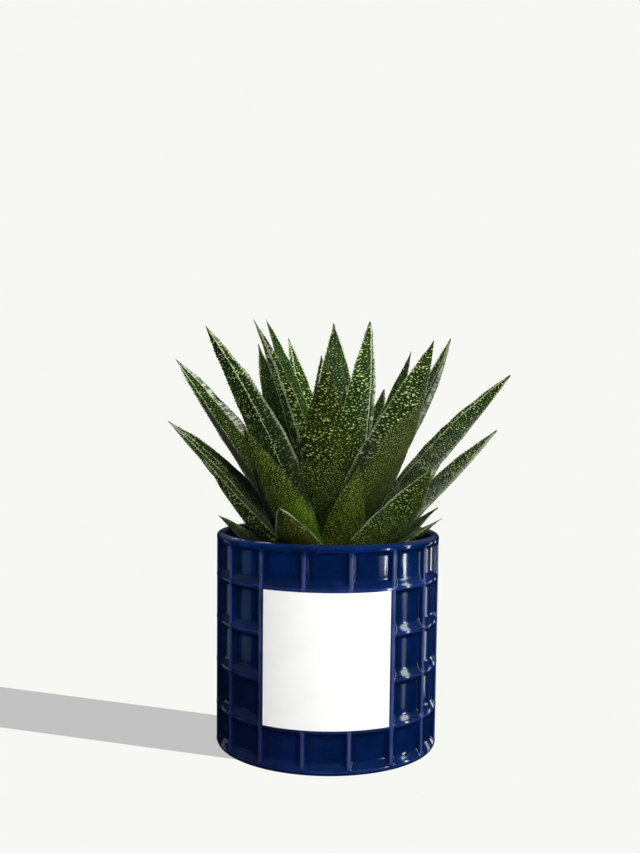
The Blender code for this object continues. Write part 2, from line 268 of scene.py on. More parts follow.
def wall_radius(height):
    """Radius of the rib crests on the pot's outside."""
    return FOOT_RADIUS + (RIM_RADIUS - FOOT_RADIUS) * height / POT_HEIGHT


def on_ease(value, low, high):
    """0 below low, 1 above high and an even ease between them."""
    share = min(max((value - low) / (high - low), 0.0), 1.0)
    return share * share * (3 - 2 * share)


# ---------------- node helpers
def new_look(name):
    look = bpy.data.materials.new(name)
    look.use_nodes = True
    return look, look.node_tree, look.node_tree.nodes["Principled BSDF"]


def new_effect(name, inputs, outputs):
    """A shader node group with sockets of these names and kinds."""
    tree = bpy.data.node_groups.new(name, "ShaderNodeTree")
    for way, sockets in (("INPUT", inputs), ("OUTPUT", outputs)):
        for label, kind in sockets.items():
            tree.interface.new_socket(label, in_out=way, socket_type=f"NodeSocket{kind}")
    start = tree.nodes.new("NodeGroupInput")
    end = tree.nodes.new("NodeGroupOutput")
    return tree, start.outputs, end.inputs


def feed(tree, socket, source):
    """Link a socket, or set it where the source is a plain value."""
    if isinstance(source, bpy.types.NodeSocket):
        tree.links.new(source, socket)
    else:
        socket.default_value = source


def feed_all(tree, node, sources):
    for name, source in sources.items():
        feed(tree, node.inputs[name], source)


def math_of(tree, operation, first, second=None, third=None):
    node = tree.nodes.new("ShaderNodeMath")
    node.operation = operation
    for socket, source in zip(node.inputs, (first, second, third)):
        if source is not None:
            feed(tree, socket, source)
    return node.outputs[0]


def times(tree, first, *others):
    for other in others:
        first = math_of(tree, "MULTIPLY", first, other)
    return first


def parts_of(tree, vector):
    node = tree.nodes.new("ShaderNodeSeparateXYZ")
    feed(tree, node.inputs[0], vector)
    return node.outputs


def point_of(tree, x, y):
    node = tree.nodes.new("ShaderNodeCombineXYZ")
    feed(tree, node.inputs[0], x)
    feed(tree, node.inputs[1], y)
    return node.outputs[0]


def vector_of(tree, operation, first, second=None):
    node = tree.nodes.new("ShaderNodeVectorMath")
    node.operation = operation
    feed(tree, node.inputs[0], first)
    if second is not None:
        feed(tree, node.inputs[1], second)
    return node.outputs["Value" if operation in ("LENGTH", "DOT_PRODUCT") else "Vector"]


def ramp_of(tree, source, low, high, start=0.0, end=1.0):
    """Ease from start to end while the source goes from low to high."""
    node = tree.nodes.new("ShaderNodeMapRange")
    node.interpolation_type = "SMOOTHSTEP"
    for socket, value in zip(node.inputs[:5], (source, low, high, start, end)):
        feed(tree, socket, value)
    return node.outputs[0]


def blend_of(tree, share, first, second, how="MIX"):
    node = tree.nodes.new("ShaderNodeMix")
    node.data_type = "RGBA"
    node.blend_type = how
    feed(tree, node.inputs["Factor"], share)
    for name, colour in (("A", first), ("B", second)):
        feed(tree, node.inputs[name], (*colour, 1) if isinstance(colour, tuple) else colour)
    return node.outputs["Result"]


def noise_of(tree, place, scale, detail=2.0, rough=0.5):
    """Soft noise, drawn out where the scale has three parts."""
    if isinstance(scale, tuple):
        place, scale = vector_of(tree, "MULTIPLY", place, scale), 1.0
    node = tree.nodes.new("ShaderNodeTexNoise")
    feed_all(tree, node, {"Vector": place, "Scale": scale, "Detail": detail, "Roughness": rough})
    return node.outputs["Fac"]


def own_value(tree, name, output="Fac"):
    node = tree.nodes.new("ShaderNodeAttribute")
    node.attribute_name = name
    return node.outputs[output]


def place_of(tree):
    return tree.nodes.new("ShaderNodeTexCoord").outputs["Object"]


def relief(tree, shader, height, depth, strength=1.0):
    """Feed a height in 0..1 to the shader as relief of that depth."""
    node = tree.nodes.new("ShaderNodeBump")
    feed_all(tree, node, {"Strength": strength, "Distance": depth, "Height": height})
    feed(tree, shader.inputs["Normal"], node.outputs["Normal"])


# ---------------- effects
def make_dots():
    """Raised oval dots in wavy cross rows, for a place in mm on the straight leaf."""
    tree, given, result = new_effect(
        "leaf dots", {"Place": "Vector", "Across": "Float", "Along": "Float", "Size": "Float"},
        {"Mask": "Float", "Height": "Float", "Tint": "Float"})
    across, _, along = parts_of(tree, given["Place"])
    wave = noise_of(tree, given["Place"], (0.15, 0.05, 0.045))
    row = math_of(tree, "MULTIPLY_ADD", wave, 7.0, along)
    row = math_of(tree, "DIVIDE", row, given["Along"])
    column = math_of(tree, "DIVIDE", across, given["Across"])
    # each row is shifted by half a dot against the next one, as bricks are
    cell = point_of(tree, math_of(tree, "MULTIPLY_ADD", row, 0.5, column), row)
    cells = tree.nodes.new("ShaderNodeTexVoronoi")
    cells.voronoi_dimensions = "2D"
    feed_all(tree, cells, {"Vector": cell, "Scale": 1.0, "Randomness": 0.70})
    tint = tree.nodes.new("ShaderNodeSeparateColor")
    feed(tree, tint.inputs[0], cells.outputs["Color"])
    # distance from the dot's middle in mm, counted dearer along the leaf than across
    aside, step, _ = parts_of(tree, vector_of(tree, "SUBTRACT", cell, cells.outputs["Position"]))
    aside = math_of(tree, "MULTIPLY_ADD", step, -0.5, aside)
    dearer = math_of(tree, "DIVIDE", given["Along"], 0.52)
    off = point_of(tree, times(tree, aside, given["Across"]), times(tree, step, dearer))
    away = vector_of(tree, "LENGTH", off)
    away = math_of(tree, "MULTIPLY_ADD", noise_of(tree, given["Place"], 1.3), 0.28, away)
    share = math_of(tree, "MULTIPLY_ADD", tint.outputs[0], 0.75, 0.62)
    size = math_of(tree, "MULTIPLY_ADD", share, given["Size"], 0.14)
    left = math_of(tree, "SUBTRACT", size, away)
    feed(tree, result["Mask"], ramp_of(tree, left, -0.08, 0.12))
    feed(tree, result["Height"], ramp_of(tree, left, -0.12, 0.45))
    feed(tree, result["Tint"], tint.outputs[1])
    return tree


DOTS = make_dots()


def place_effect(tree, effect, **values):
    node = tree.nodes.new("ShaderNodeGroup")
    node.node_tree = effect
    feed_all(tree, node, values)
    return node.outputs


# ---------------- leaf skin
# Spacing of the dots on a leaf, in mm
LARGE_DOTS = {"Across": 2.3, "Along": 1.7}
FINE_DOTS = {"Across": 1.35, "Along": 0.98}
SKINS = {
    # name: flesh, shade, warm share, dots, size of the large and the fine dots in mm, where
    # the large ones take over, how clear the keel line and the margin line are
    "deep": ((0.012, 0.042, 0.003), (0.006, 0.023, 0.002), 0.14,
             (0.36, 0.48, 0.12), 0.50, 0.36, 0.34, 0.25, 0.30),
    "marked": ((0.012, 0.034, 0.003), (0.007, 0.020, 0.002), 0.30,
               (0.44, 0.54, 0.16), 0.50, 0.38, 0.30, 0.80, 0.35),
    "lined": ((0.014, 0.048, 0.004), (0.007, 0.027, 0.003), 0.14,
              (0.66, 0.80, 0.28), 0.68, 0.40, 0.24, 0.90, 0.80),
    "bold": ((0.011, 0.044, 0.002), (0.006, 0.025, 0.002), 0.16,
             (0.68, 0.82, 0.32), 0.57, 0.38, 0.20, 0.95, 0.38),
    "olive": ((0.016, 0.040, 0.001), (0.009, 0.023, 0.001), 0.38,
              (0.38, 0.48, 0.10), 0.48, 0.38, 0.95, 0.00, 0.06),
    "edged": ((0.017, 0.044, 0.001), (0.010, 0.026, 0.001), 0.36,
              (0.50, 0.62, 0.22), 0.52, 0.38, 0.56, 0.00, 0.50),
    "dull": ((0.026, 0.036, 0.005), (0.015, 0.022, 0.002), 0.60,
             (0.36, 0.42, 0.16), 0.44, 0.26, 0.70, 0.00, 0.60),
    "dusted": ((0.017, 0.044, 0.003), (0.010, 0.027, 0.002), 0.30,
               (0.64, 0.75, 0.34), 0.62, 0.37, 0.42, 0.00, 0.30),
    "fine": ((0.010, 0.026, 0.001), (0.005, 0.014, 0.001), 0.30,
             (0.64, 0.76, 0.22), 0.57, 0.33, 0.46, 0.00, 0.03),
    "pale": ((0.018, 0.046, 0.009), (0.009, 0.026, 0.005), 0.08,
             (0.48, 0.58, 0.26), 0.48, 0.36, 0.36, 0.20, 0.85),
    "young": ((0.028, 0.088, 0.006), (0.016, 0.050, 0.004), 0.05,
              (0.42, 0.56, 0.18), 0.44, 0.34, 0.34, 0.45, 0.60),
}
WARM = (0.042, 0.046, 0.002)
MARGIN = (0.48, 0.56, 0.35)
PAINTED_BASE_SHADE = (0.55, 0.62, 0.45)
FIBRE_TINT = (0.45, 0.50, 0.40)
PAINTED_SHEEN = (0.60, 0.68, 0.54)
BRISTLE = (0.075, 0.068, 0.038)
PAINTED_SHADE_FLESH = (0.014, 0.017, 0.009)
FRESH = (0.066, 0.150, 0.003)
OVERLAP_FLESH = (0.034, 0.043, 0.001)


def leaf_skin(name, flesh, shade, warm, dot_colour, large, fine, turn, keel, margin):
    look, tree, shader = new_look(f"{name} leaf skin")
    place = vector_of(tree, "SCALE", own_value(tree, "grown", "Vector"))
    place.node.inputs["Scale"].default_value = 1 / MM
    along = own_value(tree, "along")
    # flesh: slow random patches of the shade colour and of warm brown-green; painted shade makes
    # it darker and greener towards the base
    patches = noise_of(tree, place, 0.09, 3.0)
    colour = blend_of(tree, ramp_of(tree, patches, 0.38, 0.62), shade, flesh)
    blush = noise_of(tree, vector_of(tree, "ADD", place, (90.0, 0.0, 40.0)), 0.05, 2.0)
    blush = times(
        tree, ramp_of(tree, blush, 0.40, 0.60), warm, ramp_of(tree, along, 0.10, 0.40))
    colour = blend_of(tree, blush, colour, WARM)
    colour = blend_of(tree, ramp_of(tree, along, 0.30, 0.02), colour, PAINTED_BASE_SHADE, "MULTIPLY")
    fresh = noise_of(tree, vector_of(tree, "ADD", place, (10.0, 0.0, 70.0)), 0.12, 2.0)
    fresh = times(tree, ramp_of(tree, fresh, 0.45, 0.62), ramp_of(tree, along, 0.34, 0.10))
    fresh = math_of(tree, "MAXIMUM", fresh, own_value(tree, "fresh"))
    colour = blend_of(tree, times(tree, fresh, 0.70), colour, FRESH)
    # the shorter leaf that lies over another is olive and has fine dots alone
    over = ramp_of(tree, own_value(tree, "over"), -0.25, 0.25)
    colour = blend_of(tree, times(tree, over, 0.75), colour, OVERLAP_FLESH)
    # faint lengthwise fibres
    fibres = noise_of(tree, place, (1.1, 0.4, 0.05), 2.0)
    fibrous = ramp_of(tree, fibres, 0.35, 0.7, 0.0, 0.35)
    colour = blend_of(tree, fibrous, colour, FIBRE_TINT, "MULTIPLY")
    # large dots gather in cross bands on the upper part, fine ones crowd the lower part
    bands = noise_of(tree, place, (0.06, 0.04, 0.20), 2.0, 0.6)
    gather = ramp_of(tree, bands, 0.38, 0.60, 0.62, 1.15)
    waver = math_of(tree, "MULTIPLY_ADD", bands, 0.30, math_of(tree, "SUBTRACT", along, 0.15))
    waver = math_of(tree, "SUBTRACT", waver, over)
    upper = ramp_of(tree, waver, turn - 0.10, turn + 0.10)
    lower = ramp_of(tree, waver, turn + 0.16, turn - 0.06, 0.25, 1.0)
    size = times(tree, upper, large, gather)
    big = place_effect(tree, DOTS, Place=place, Size=size, **LARGE_DOTS)
    size = times(tree, lower, fine)
    small = place_effect(tree, DOTS, Place=place, Size=size, **FINE_DOTS)
    mask = math_of(tree, "MAXIMUM", big["Mask"], times(tree, small["Mask"], 0.80))
    height = math_of(tree, "MAXIMUM", big["Height"], times(tree, small["Height"], 0.6))
    tint = math_of(tree, "MULTIPLY_ADD", big["Tint"], 0.45, 0.55)
    # the dots are dimmed at random, on the shorter olive leaf, and towards the base, where it is
    # painted shade
    light = times(
        tree, ramp_of(tree, along, 0.05, 0.60, 0.62, 1.0), tint,
        ramp_of(tree, over, 0.0, 1.0, 1.0, 0.62))
    colour = blend_of(tree, times(tree, mask, light), colour, dot_colour)
    # painted shade: dark smooth flesh, nearly without dots, on strips that lie in shade
    painted_shade = own_value(tree, "painted_shade")
    colour = blend_of(tree, times(tree, painted_shade, 0.92), colour, PAINTED_SHADE_FLESH)
    # painted sheen: pale bands that stand in for a glossy reflection, crossed by darker bars where
    # the green shows through
    sheen_share = own_value(tree, "painted_sheen")
    bars = noise_of(tree, place, (0.12, 0.1, 0.62), 1.5)
    bars = ramp_of(tree, bars, 0.40, 0.56, 0.92, 0.14)
    colour = blend_of(tree, times(tree, sheen_share, bars, 0.88), colour, PAINTED_SHEEN)
    # thin pale horny lines on the margins and the keel, broken here and there
    breaks = noise_of(tree, place, 0.9, 2.0)
    reach = ramp_of(tree, breaks, 0.32, 0.68, 0.18, 0.60)
    # painted shade: the pale lines fade towards the base
    lit = ramp_of(tree, along, 0.08, 0.45, 0.30, 1.0)
    for name, share in (("from_keel", keel), ("from_ridge", 0.75), ("from_margin", margin)):
        line = ramp_of(tree, math_of(tree, "SUBTRACT", reach, own_value(tree, name)), -0.10, 0.16)
        colour = blend_of(tree, times(tree, line, lit, share), colour, MARGIN)
    colour = blend_of(tree, ramp_of(tree, along, 0.965, 0.990), colour, BRISTLE)
    gloss = ramp_of(tree, noise_of(tree, place, 0.35, 3.0), 0.3, 0.7, 0.32, 0.48)
    feed_all(tree, shader, {
        "Base Color": colour, "Roughness": math_of(tree, "MULTIPLY_ADD", painted_shade, 0.25, gloss),
        "Specular IOR Level": 0.20})
    grain = noise_of(tree, place, 3.0, 2.0)
    height = math_of(tree, "MULTIPLY_ADD", grain, 0.12, height)
    height = math_of(tree, "MULTIPLY_ADD", fibres, 0.25, height)
    relief(tree, shader, height, 0.30 * MM)
    return look


# ---------------- leaves
def width_share(s):
    """Share of the full width at s, from 0 at the base to 1 at the tip."""
    swell = BASE_SHARE + (1 - BASE_SHARE) * on_ease(s, 0.0, WIDEST_FROM)
    taper = min(max((s - TAPER_FROM) / (1 - TAPER_FROM), 0.0), 1.0)
    return swell * (1 - taper ** TAPER_POWER)


def half_width(s, width):
    past = max(s - BRISTLE_FROM, 0.0) / (1 - BRISTLE_FROM)
    return max(width / 2 * width_share(s), BRISTLE_HALF * (1.0 - 0.7 * past))


def model_section():
    """The flat end of a leaf, one unit in half width: hollow above, keeled below."""
    deselect()
    bpy.ops.mesh.primitive_circle_add(vertices=8, radius=1.0, fill_type="NGON")
    section = bpy.context.object
    section.name = "leaf section"
    edit(section)
    moves = (
        (lambda v: v.co.y > 0.9, -1 - HOLLOW_SHARE),
        (lambda v: v.co.y > 0.6, -DIAGONAL),
        (lambda v: abs(v.co.x) > 0.9, MARGIN_RISE),
        (lambda v: v.co.y < -0.9, 1 - KEEL_SHARE),
        (lambda v: v.co.y < -0.6, DIAGONAL - FLANK_SHARE),
    )
    for wanted, shift in moves:
        pick(section, "VERT", wanted)
        bpy.ops.transform.translate(value=(0, shift, 0))
    pick(section, "VERT", lambda v: -0.01 < v.co.y < 0.01 and 0.5 < abs(v.co.x) < 0.9)
    scale_about(0, INNER_SHARE, 1, 1)
    done()
    return section


def straight_leaf(section, name, length, width, keel_edge, aside):
    """Draw the section out into a straight leaf along +Z, its hollow face to +Y."""
    only(section)
    bpy.ops.object.duplicate()
    leaf = bpy.context.object
    leaf.name = name
    count = max(round(length * LAST_STATION / STATION_PITCH), 9)
    stations = [LAST_STATION * i / count for i in range(count + 1)] + [0.965, BRISTLE_FROM, 1.0]
    start = half_width(0.0, width)
    edit(leaf)
    pick(leaf, "VERT", lambda v: v.co.y < -0.9 * KEEL_SHARE and abs(v.co.x) < 0.1)
    bpy.ops.transform.translate(value=(aside, 0, 0))
    pick(leaf, "VERT", lambda v: -0.9 * KEEL_SHARE < v.co.y < -0.2 and abs(v.co.x) < 0.9)
    bpy.ops.transform.translate(value=(aside * 0.35, 0, 0))
    pick_all()
    scale_about(0, start, start, 1)
    for below, here in zip(stations[:-1], stations[1:]):
        ratio = half_width(here, width) / half_width(below, width)
        pull((here - below) * length, ratio, here * length)

    def on_margin(v):
        return abs(v.co.x) > 0.9 * half_width(v.co.z / length, width)

    def on_keel(v):
        half = half_width(v.co.z / length, width)
        return abs(v.co.x - aside * half) < HAIR and v.co.y < -0.8 * KEEL_SHARE * half

    def runs_up(edge, where):
        low, high = edge.verts
        return abs(low.co.z - high.co.z) > HAIR and where(low) and where(high)

    for line, sharp in ((on_margin, 1.0), (on_keel, keel_edge)):
        pick(leaf, "EDGE", lambda e: runs_up(e, line))
        bpy.ops.transform.edge_crease(value=sharp)
        bpy.ops.object.vertex_group_assign_new()
    done()
    modify(leaf, "SUBSURF", levels=2, render_levels=2)
    cut_teeth(leaf, length, width)
    return leaf


def inside_overlap(number, reach, along, half, length):
    """Distance inside the shorter leaf's edge, below zero outside it."""
    left, lean, start, run = OVERLAPS[number]
    edge = left + lean * np.clip((along - start) / run, 0, 1) ** LEAN_POWER
    return np.minimum((reach - edge) * half, (start + run - along) * length)


def lift_overlap(leaf, number, length, width):
    """Raise the back of the leaf where the shorter one lies over it."""
    def covered(v):
        along = v.co.z / length
        half = half_width(along, width)
        inside = inside_overlap(number, v.co.x / half, along, half, length)
        return v.co.y < -0.05 * half and inside > 0

    edit(leaf)
    pick(leaf, "VERT", covered)
    bpy.ops.transform.translate(value=(0, -OVERLAP_LIFT, 0))
    done()


def cut_teeth(leaf, length, width):
    """Fine teeth of uneven size along the margins, and lower ones along the keel."""
    edit(leaf)
    smooth_count = len(leaf.data.vertices)
    layer = bmesh.from_edit_mesh(leaf.data).verts.layers.deform.verify()
    low, high = 0.05 * length, 0.95 * length

    def toothed(edge):
        for vert in edge.verts:
            if not low < vert.co.z < high:
                return False
            if max(vert[layer].values(), default=0) < 0.99:
                return False
        one, other = (set(v[layer].keys()) for v in edge.verts)
        return one == other

    pick(leaf, "EDGE", toothed)
    bpy.ops.mesh.subdivide(number_cuts=1)
    size = TOOTH * min(1.0, 0.55 + length / (240 * MM))

    def side(v):
        """1 and -1 on the right and left margin, and 0 on the keel."""
        reach = v.co.x / half_width(v.co.z / length, width)
        return (reach > 0.75) - (reach < -0.75)

    # a tooth's height goes by its place alone, so that it is the same each time
    teeth = {}
    for v in bmesh.from_edit_mesh(leaf.data).verts:
        if v.index >= smooth_count:
            step = int((v.co.z + 0.3 * v.co.x) / TEETH_STEP)
            teeth[v.index] = step % len(TEETH), side(v)
    for place, share in enumerate(TEETH):
        out = size * share
        for where, shift in (
                (1, (out, 0, out * 0.5)), (-1, (-out, 0, out * 0.5)),
                (0, (0, -out * 0.5, out * 0.4))):
            pick(leaf, "VERT", lambda v: teeth.get(v.index) == (place, where))
            bpy.ops.transform.translate(value=shift)
    done()


def note_growth(leaf, number, length, width, aside):
    """Keep what the skin needs to know: place on the straight leaf and edge distance."""
    count = len(leaf.data.vertices)
    spots = np.zeros(count * 3, np.float32)
    leaf.data.vertices.foreach_get("co", spots)
    spots = spots.reshape(-1, 3)
    along = spots[:, 2] / length
    halves = np.array([half_width(min(max(float(s), 0.0), 1.0), width) for s in along])
    from_margin = halves - np.abs(spots[:, 0])
    below = spots[:, 1] < -0.25 * KEEL_SHARE * halves
    from_keel = np.where(below, np.abs(spots[:, 0] - aside * halves), 1.0)
    reach = spots[:, 0] / halves
    hollow = spots[:, 1] > halves * (0.04 - 0.22 * (1 - np.abs(reach)))
    from_ridge = np.full(count, 1.0)
    for table, face in ((RIDGES, hollow), (BACK_RIDGES, ~hollow)):
        for place in table.get(number, ()):
            near = np.minimum(from_ridge, np.abs(spots[:, 0] - place * halves))
            from_ridge = np.where(face, near, from_ridge)

    def share_of(measure, run):
        return np.clip(measure / run, 0, 1)

    left, right, low, high = FRESH_PLACES.get(number, (9, 9, 9, 9))
    fresh = share_of(reach - left, 0.3) * share_of(right - reach, 0.3) * ~hollow
    fresh = fresh * share_of(along - low, 0.05) * share_of(high - along, 0.08)

    def banded(table):
        share = np.zeros(count)
        for face, low, high, *most in table.get(number, ()):
            band = share_of(reach - low + 0.06, 0.12) * share_of(high - reach + 0.06, 0.12)
            band = band * (hollow if face > 0 else ~hollow)
            share = np.maximum(share, band * (most or [1.0])[0])
        return share

    sheen_share = banded(PAINTED_SHEEN_BANDS) * share_of(along - 0.1, 0.3)
    painted_shade = banded(PAINTED_SHADE_STRIPS) * share_of(0.82 - along, 0.12)
    over = np.full(count, NOWHERE)
    if number in OVERLAPS:
        over = np.where(hollow, NOWHERE, inside_overlap(number, reach, along, halves, length) / MM)
        # painted shade: the strip beside the shorter leaf lies in its crease, dark and nearly
        # without dots
        crease = share_of(-over, 1.5) * share_of(0.64 - along, 0.10) * ~hollow
        painted_shade = np.maximum(painted_shade, 0.75 * crease)
    shifted = spots + np.array((0.0, 0.05 * number, 0.11 * number), np.float32)
    layer = leaf.data.attributes.new("grown", "FLOAT_VECTOR", "POINT")
    layer.data.foreach_set("vector", np.ascontiguousarray(shifted, np.float32).ravel())
    for name, values in (
            ("along", along), ("painted_sheen", sheen_share), ("painted_shade", painted_shade), ("fresh", fresh),
            ("over", over),
            ("from_margin", np.clip(from_margin / MM, 0.0, 99.0)),
            ("from_ridge", np.clip(from_ridge / MM, 0.0, 99.0)),
            ("from_keel", np.clip(from_keel / MM, 0.0, 99.0))):
        layer = leaf.data.attributes.new(name, "FLOAT", "POINT")
        layer.data.foreach_set("value", np.ascontiguousarray(values, np.float32))


def make_leaf(section, number, row, looks, swell):
    """One leaf: straight first, then twisted, curled and set on the stem."""
    ring, bearing, lean, curl, sweep, length, width, twist, skin = row
    length, width = length * MM, width * MM
    height, distance = RINGS[ring][0] * MM, RINGS[ring][1] * MM
    name = f"gasteria_leaf_{number:02d}"
    keel_edge = ROUND_KEEL if skin in ROUND_BACKED else SHARP_KEEL
    keel_aside = OBLIQUE_KEELS.get(number, 0.0)
    leaf = straight_leaf(section, name, length, width, keel_edge, keel_aside)
    if number in OVERLAPS:
        lift_overlap(leaf, number, length, width)
    note_growth(leaf, number, length, width, keel_aside)
    middle = radians(lean + curl / 2)
    turn = radians(twist + sweep * cos(middle))
    sideways = radians(sweep * sin(middle))
    for method, axis, angle in (
            ("TWIST", "Z", turn), ("BEND", "Y", sideways), ("BEND", "X", radians(-curl))):
        if abs(angle) > radians(0.05):
            modify(leaf, "SIMPLE_DEFORM", deform_method=method, deform_axis=axis, angle=angle)
    leaf.rotation_euler = Euler((radians(lean), 0, radians(bearing)))
    way = radians(bearing)
    leaf.location = (distance * sin(way), -distance * cos(way), height)
    settle(leaf)
    modify(leaf, "DISPLACE", texture=swell, texture_coords="LOCAL",
           strength=SWELL_HEIGHT, mid_level=0.5)
    smooth(leaf, 34)
    hand_over(leaf, f"leaf_{number:02d}", looks[skin])


def make_leaves():
    looks = {name: leaf_skin(name, *values) for name, values in SKINS.items()}
    section = model_section()
    swell = bpy.data.textures.new("slow swelling of the flesh", "CLOUDS")
    swell.noise_scale = SWELL_WIDTH
    swell.noise_depth = 1
    for number, row in enumerate(LEAVES, start=1):
        make_leaf(section, number, row, looks, swell)
    bpy.data.objects.remove(section, do_unlink=True)


# ---------------- pot
GLAZE_DEEP = (0.0004, 0.0080, 0.046)
GLAZE_BODY = (0.0005, 0.0140, 0.092)
GLAZE_BREAK_AND_HIGHLIGHT = (0.030, 0.055, 0.220)
GLAZE_POOL_AND_SHADE = (0.0003, 0.0045, 0.030)
GLAZE_PAINTED_SHADE = (0.0030, 0.0045, 0.028)
GLAZE_RIB = (0.046, 0.064, 0.190)
GLAZE_RIM = (0.004, 0.016, 0.080)
GLAZE_INSIDE_HIGHLIGHT = (0.050, 0.070, 0.130)


def glaze_look():
    """Cobalt glaze: pooled dark in the panels, broken thin and paler over the edges, with painted
    highlights and painted shade.
    """
    look, tree, shader = new_look("cobalt glaze")
    place = place_of(tree)
    x, y, z = parts_of(tree, place)
    radius = vector_of(tree, "LENGTH", point_of(tree, x, y))
    slope = (RIM_RADIUS - FOOT_RADIUS) / POT_HEIGHT
    crest = math_of(tree, "MULTIPLY_ADD", z, slope, FOOT_RADIUS)
    depth = times(tree, math_of(tree, "SUBTRACT", crest, radius), 1 / MM)
    flow = noise_of(tree, place, 120.0, 3.0)
    depth = math_of(tree, "ADD", depth, ramp_of(tree, flow, 0.3, 0.7, -0.10, 0.10))
    cloud = noise_of(tree, place, 38.0, 2.0)
    body = blend_of(tree, ramp_of(tree, cloud, 0.35, 0.65), GLAZE_BODY, GLAZE_DEEP)
    pooled = ramp_of(tree, depth, 1.2, 2.2, 0.0, 0.35)
    colour = blend_of(tree, pooled, body, GLAZE_DEEP)
    # two thin pale lines on the shoulders of the ribs, where the glaze thins: partly its own
    # colour, partly painted highlight
    shoulder = math_of(tree, "ABSOLUTE", math_of(tree, "SUBTRACT", depth, 0.16))
    outside = ramp_of(tree, depth, 4.0, 3.4)
    thinning_and_highlight = times(
        tree, ramp_of(tree, shoulder, 0.22, 0.03), outside,
        ramp_of(tree, z, RIB_LINES[-1], RIB_LINES[-1] - 2 * MM), 0.30)
    colour = blend_of(tree, thinning_and_highlight, colour, GLAZE_BREAK_AND_HIGHLIGHT)
    # it is palest along the upright ribs; the panels' sides are darker, partly where the glaze
    # pools deepest, partly painted shade from the ribs
    bearing = math_of(tree, "ARCTAN2", x, times(tree, y, -1.0))
    column = math_of(tree, "SUBTRACT", math_of(tree, "DIVIDE", bearing, TILE), 0.5)
    from_rib = times(tree, math_of(tree, "PINGPONG", column, 0.5), TILE * RIM_RADIUS / MM)
    upright = times(
        tree, ramp_of(tree, from_rib, 1.45, 0.75), ramp_of(tree, depth, 0.8, 0.3),
        ramp_of(tree, flow, 0.25, 0.6, 0.45, 0.85),
        ramp_of(tree, z, POT_HEIGHT - 5 * MM, POT_HEIGHT - 8 * MM),
        ramp_of(tree, z, 3.2 * MM, 5.0 * MM), outside)
    colour = blend_of(tree, upright, colour, GLAZE_RIB)
    gap = (RIB_LINES[2] - RIB_LINES[1]) / MM
    level = math_of(tree, "DIVIDE", math_of(tree, "SUBTRACT", z, RIB_LINES[1]), gap * MM)
    from_line = times(tree, math_of(tree, "PINGPONG", level, 0.5), gap)
    # painted shade along the panels' sides, together with the glaze pooling there
    side = math_of(
        tree, "MAXIMUM", ramp_of(tree, from_rib, 6.5, 2.4), ramp_of(tree, from_line, 5.5, 2.4))
    side = times(tree, side, ramp_of(tree, depth, 0.7, 1.5), 0.70)
    colour = blend_of(tree, side, colour, GLAZE_POOL_AND_SHADE)
    # painted shade: darker and duller low down on the left, away from the light
    dark = times(
        tree, ramp_of(tree, x, 20 * MM, -40 * MM), ramp_of(tree, z, 80 * MM, 36 * MM), 0.62)
    colour = blend_of(tree, dark, colour, GLAZE_PAINTED_SHADE)
    top = ramp_of(tree, z, POT_HEIGHT - 1.5 * MM, POT_HEIGHT - 0.3 * MM)
    colour = blend_of(tree, times(tree, top, 0.8), colour, GLAZE_RIM)
    # painted highlight: the inner wall is paler
    inside = times(tree, ramp_of(tree, depth, 3.9, 4.7), 0.7)
    colour = blend_of(tree, inside, colour, GLAZE_INSIDE_HIGHLIGHT)
    feed_all(tree, shader, {
        "Base Color": colour, "Roughness": 0.10, "Specular IOR Level": 0.5,
        "Coat Weight": 0.3, "Coat Roughness": 0.03})
    relief(tree, shader, noise_of(tree, place, 75.0, 1.0), 0.5 * MM, 0.25)
    return look


def make_pot():
    """Turned body, with a grid of panels pressed into its outside."""
    wall = []
    for low, high in zip(RIB_LINES[:-1], RIB_LINES[1:]):
        wall += [low + (high - low) * share for share in (0, 1 / 3, 2 / 3)]
    wall.append(RIB_LINES[-1])
    profile = [
        (20 * MM, 0), (45 * MM, 0), (FOOT_RADIUS - 2.6 * MM, 0),
        (FOOT_RADIUS - 0.8 * MM, 0.5 * MM),
        *((wall_radius(z), z) for z in wall),
        (RIM_RADIUS, POT_HEIGHT - 2.0 * MM), (RIM_RADIUS - 0.8 * MM, POT_HEIGHT - 0.7 * MM),
        (RIM_RADIUS - 2.9 * MM, POT_HEIGHT + 0.1 * MM),
        (INSIDE_RADIUS + 0.9 * MM, POT_HEIGHT - 0.5 * MM),
        (INSIDE_RADIUS, POT_HEIGHT - 2.4 * MM), (INSIDE_RADIUS, 100 * MM),
        (INSIDE_RADIUS, 60 * MM), (INSIDE_RADIUS, POT_FLOOR + 4 * MM),
        (INSIDE_RADIUS - 1.5 * MM, POT_FLOOR + 0.8 * MM), (INSIDE_RADIUS - 5 * MM, POT_FLOOR),
        (20 * MM, POT_FLOOR),
    ]
    deselect()
    bpy.ops.mesh.primitive_circle_add(
        vertices=COLUMNS * 4, radius=profile[0][0], fill_type="NOTHING")
    pot = bpy.context.object
    pot.name = "glazed_pot"
    edit(pot)
    pick_all()
    for (r_from, z_from), (r_to, z_to) in zip(profile[:-1], profile[1:]):
        pull(z_to - z_from, r_to / r_from, z_to)
    bpy.ops.mesh.edge_face_add()
    pick(pot, "VERT", lambda v: v.co.z < HAIR and hypot(v.co.x, v.co.y) < 30 * MM)
    bpy.ops.mesh.edge_face_add()
    face_outwards()
    press_panels(pot)
    sharpen_corners(pot)
    ease_ledges(pot)
    done()
    modify(pot, "SUBSURF", levels=2, render_levels=2)
    smooth(pot, 60)
    hand_over(pot, "pot", glaze_look())


